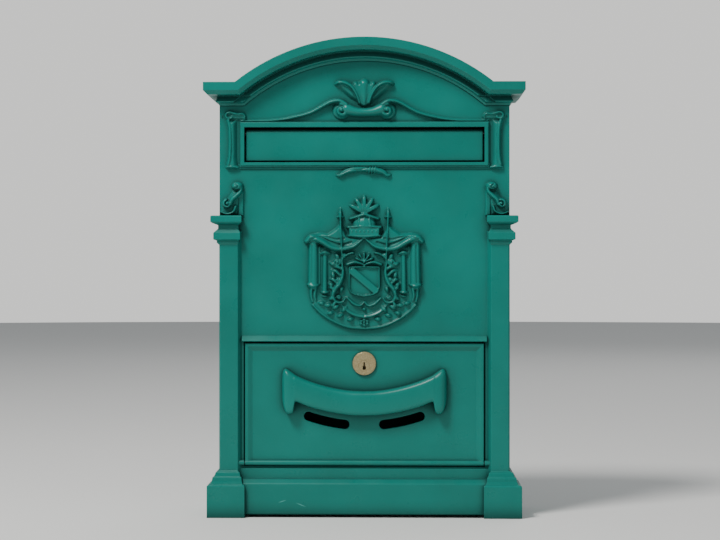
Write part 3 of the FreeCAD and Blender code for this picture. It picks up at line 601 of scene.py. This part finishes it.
def console(side):
    """The S-scroll that stands on a capital."""
    ends = sorted((side * 102, side * 125))
    art = Relief(*ends, 256, 289, 0.3)

    def place(rows):
        return [(side * x, *more) for x, *more in rows]

    art.plate(place([(103.3, 258), (108.6, 258), (108.6, 280), (103.3, 280)]), 2.0, 0.8)
    art.plate(place([(106, 282), (113, 280), (118, 273), (123, 270), (123.6, 259), (108, 258)]), 2.2, 2.0)
    art.dome(side * 108.8, 283.8, 5.2, 3.9, 7.2)
    art.run(place([(105.2, 282.6, 1.4, 4.6), (106.4, 278.8, 2.0, 5.8), (109.8, 275.4, 2.3, 6.6),
                   (113.4, 271.8, 2.3, 6.8), (114.8, 267.8, 1.8, 6.0)]))
    art.volute(side * 117.2, 268.4, 5.4, 7.6, 1.1, math.pi * 0.6, -side, 0.34)
    art.run(place([(110.4, 266.0, 1.6, 5.0), (112.2, 261.8, 1.5, 5.2), (117.4, 259.8, 1.5, 5.4),
                   (122.6, 261.4, 1.2, 4.6)]))
    art.groove(place([(110.6, 285.4), (108.2, 283.0), (110.8, 281.8)]), 0.5, 1.4)
    art.soften(1)
    word = "right" if side > 0 else "left"
    return art.build("console_" + word, FIELD, "box")


# The finger pull

def grid_mesh(rings, name):
    """A closed skin over rings of equal length, each a list of (across, depth, up) in millimetres."""
    around = len(rings[0])
    verts = [(x * MM, FIELD - d * MM, z * MM + GROUND) for ring in rings for x, d, z in ring]
    faces = []
    for k in range(len(rings) - 1):
        for i in range(around):
            j = (i + 1) % around
            faces.append((k * around + i, k * around + j, (k + 1) * around + j, (k + 1) * around + i))
    faces.append(tuple(range(around))[::-1])
    faces.append(tuple(range((len(rings) - 1) * around, len(rings) * around)))
    mesh = bpy.data.meshes.new(name)
    mesh.from_pydata(verts, [], faces)
    mesh.validate()
    sides = bmesh.new()
    sides.from_mesh(mesh)
    bmesh.ops.remove_doubles(sides, verts=sides.verts, dist=0.01 * MM)
    bmesh.ops.dissolve_degenerate(sides, edges=sides.edges, dist=0.01 * MM)
    bmesh.ops.recalc_face_normals(sides, faces=sides.faces)
    sides.to_mesh(mesh)
    sides.free()
    mesh.shade_smooth()
    piece = bpy.data.objects.new(name, mesh)
    bpy.context.scene.collection.objects.link(piece)
    mesh.materials.append(ENAMEL)
    return piece


# Across the hood: the height of its top edge, of its lower edge, and how far it stands forward.
HOOD_SHAPE = ((0, 108.2, 87.6, 10.0), (12, 108.7, 88.0, 10.0), (24, 110.5, 89.6, 10.0),
              (36, 113.3, 92.0, 10.0),
              (48, 117.2, 95.4, 10.0), (56, 120.6, 98.6, 10.0), (59, 122.2, 98.8, 10.0),
              (60.0, 123.0, 94.0, 9.9), (60.9, 123.7, 90.6, 9.8), (62.6, 124.9, 89.2, 9.7),
              (65.4, 126.8, 89.2, 9.2), (67.4, 127.6, 91.0, 8.2), (69.2, 126.4, 95.6, 6.4),
              (70.3, 123.4, 99.8, 3.8), (70.8, 119.6, 104.0, 0.9))
HOOD_OUTER = ((0.0, 0.0), (0.005, 0.30), (0.02, 0.56), (0.05, 0.76), (0.10, 0.90), (0.17, 0.97), (0.28, 1.0),
              (0.55, 1.0), (0.80, 1.0), (0.90, 0.985), (0.96, 0.94), (0.99, 0.87), (1.0, 0.79))
HOOD_INNER = ((0.985, 0.72), (0.90, 0.70), (0.55, 0.70), (0.28, 0.68), (0.20, 0.58), (0.165, 0.36),
              (0.155, 0.0))


def hood():
    """The curved finger pull, hollow from below, its ends rounded and drawn down to small tips."""
    half = smooth_path(HOOD_SHAPE, 7)
    left = half[:0:-1] * (-1, 1, 1, 1)
    rings = []
    for x, top, low, out in np.vstack([left, half]):
        hollow = min(1.0, max(0.0, (61.0 - abs(x)) / 4.0))
        ring = [(x, share * out, top + (low - top) * fall) for fall, share in HOOD_OUTER]
        for fall, share in HOOD_INNER:
            inside = 1 + (fall - 1) * hollow
            ring.append((x, share * out * hollow, top + (low - top) * inside))
        rings.append(ring)
    return grid_mesh(rings, "hood")


def finger_pull():
    """The softened finger pull that stands for the hood node."""
    piece = hood()
    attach(piece, "door_leaf")
    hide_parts("pull_hood")


# Camera, light and floor

def add_camera():
    """In front of the box, a little to the right, level with its middle."""
    distance = 1.6
    aim = (-0.0037, FIELD, 0.2118 + GROUND)
    turn = math.radians(1.3)
    lens = bpy.data.cameras.new("camera")
    lens.sensor_width = 36
    lens.lens = 18 / (0.30877 / distance)
    camera = bpy.data.objects.new("camera", lens)
    camera.location = (aim[0] + distance * math.sin(turn), aim[1] - distance * math.cos(turn), aim[2])
    camera.rotation_euler = (math.pi / 2, 0, turn)
    bpy.context.scene.collection.objects.link(camera)
    bpy.context.scene.camera = camera


def add_light(name, place, target, size, power, colour):
    lamp = bpy.data.lights.new(name, "AREA")
    lamp.shape = "DISK"
    lamp.size = size
    lamp.energy = power
    lamp.color = colour
    thing = bpy.data.objects.new(name, lamp)
    thing.location = place
    way = np.array(target) - np.array(place)
    flat = math.hypot(way[0], way[1])
    thing.rotation_euler = (math.atan2(flat, -way[2]), 0, math.atan2(way[1], way[0]) - math.pi / 2)
    bpy.context.scene.collection.objects.link(thing)


def add_studio():
    world = bpy.data.worlds.new("studio")
    world.use_nodes = True
    tree = world.node_tree
    around = tree.nodes["Background"]
    around.inputs["Color"].default_value = (0.92, 0.97, 1.0, 1)
    around.inputs["Strength"].default_value = 0.36
    backdrop = tree.nodes.new("ShaderNodeBackground")
    backdrop.inputs["Color"].default_value = (0.96, 0.96, 0.94, 1)
    backdrop.inputs["Strength"].default_value = 0.95
    seen = tree.nodes.new("ShaderNodeLightPath")
    both = tree.nodes.new("ShaderNodeMixShader")
    link(tree, seen.outputs["Is Camera Ray"], both.inputs["Fac"])
    link(tree, around.outputs["Background"], both.inputs[1])
    link(tree, backdrop.outputs["Background"], both.inputs[2])
    link(tree, both.outputs["Shader"], tree.nodes["World Output"].inputs["Surface"])
    bpy.context.scene.world = world
    add_light("key", (-0.85, -1.1, 1.75), (0, 0, 0.05), 0.6, 50, (1.0, 0.99, 0.97))
    add_light("fill", (1.9, -2.0, 0.9), (0, 0, 0), 1.8, 3, (0.95, 0.98, 1.0))
    add_light("back", (0.8, 2.2, 1.8), (0, 0, 0), 2.0, 10, (1.0, 1.0, 1.0))
    mesh = bpy.data.meshes.new("floor")
    corners = [(6 * math.cos(a), 6 * math.sin(a), GROUND) for a in np.linspace(0, 2 * math.pi, 65)[:-1]]
    mesh.from_pydata(corners, [], [list(range(len(corners)))])
    floor = bpy.data.objects.new("floor", mesh)
    bpy.context.scene.collection.objects.link(floor)
    material, _, shader = new_material("pale_floor")
    shader.inputs["Base Color"].default_value = (0.80, 0.79, 0.77, 1)
    shader.inputs["Roughness"].default_value = 0.9
    mesh.materials.append(material)


add_camera()
add_studio()
finish_nodes()
crest()
pediment()
ribbon()
finger_pull()
for side in (1, -1):
    slot_side(side)
    console(side)
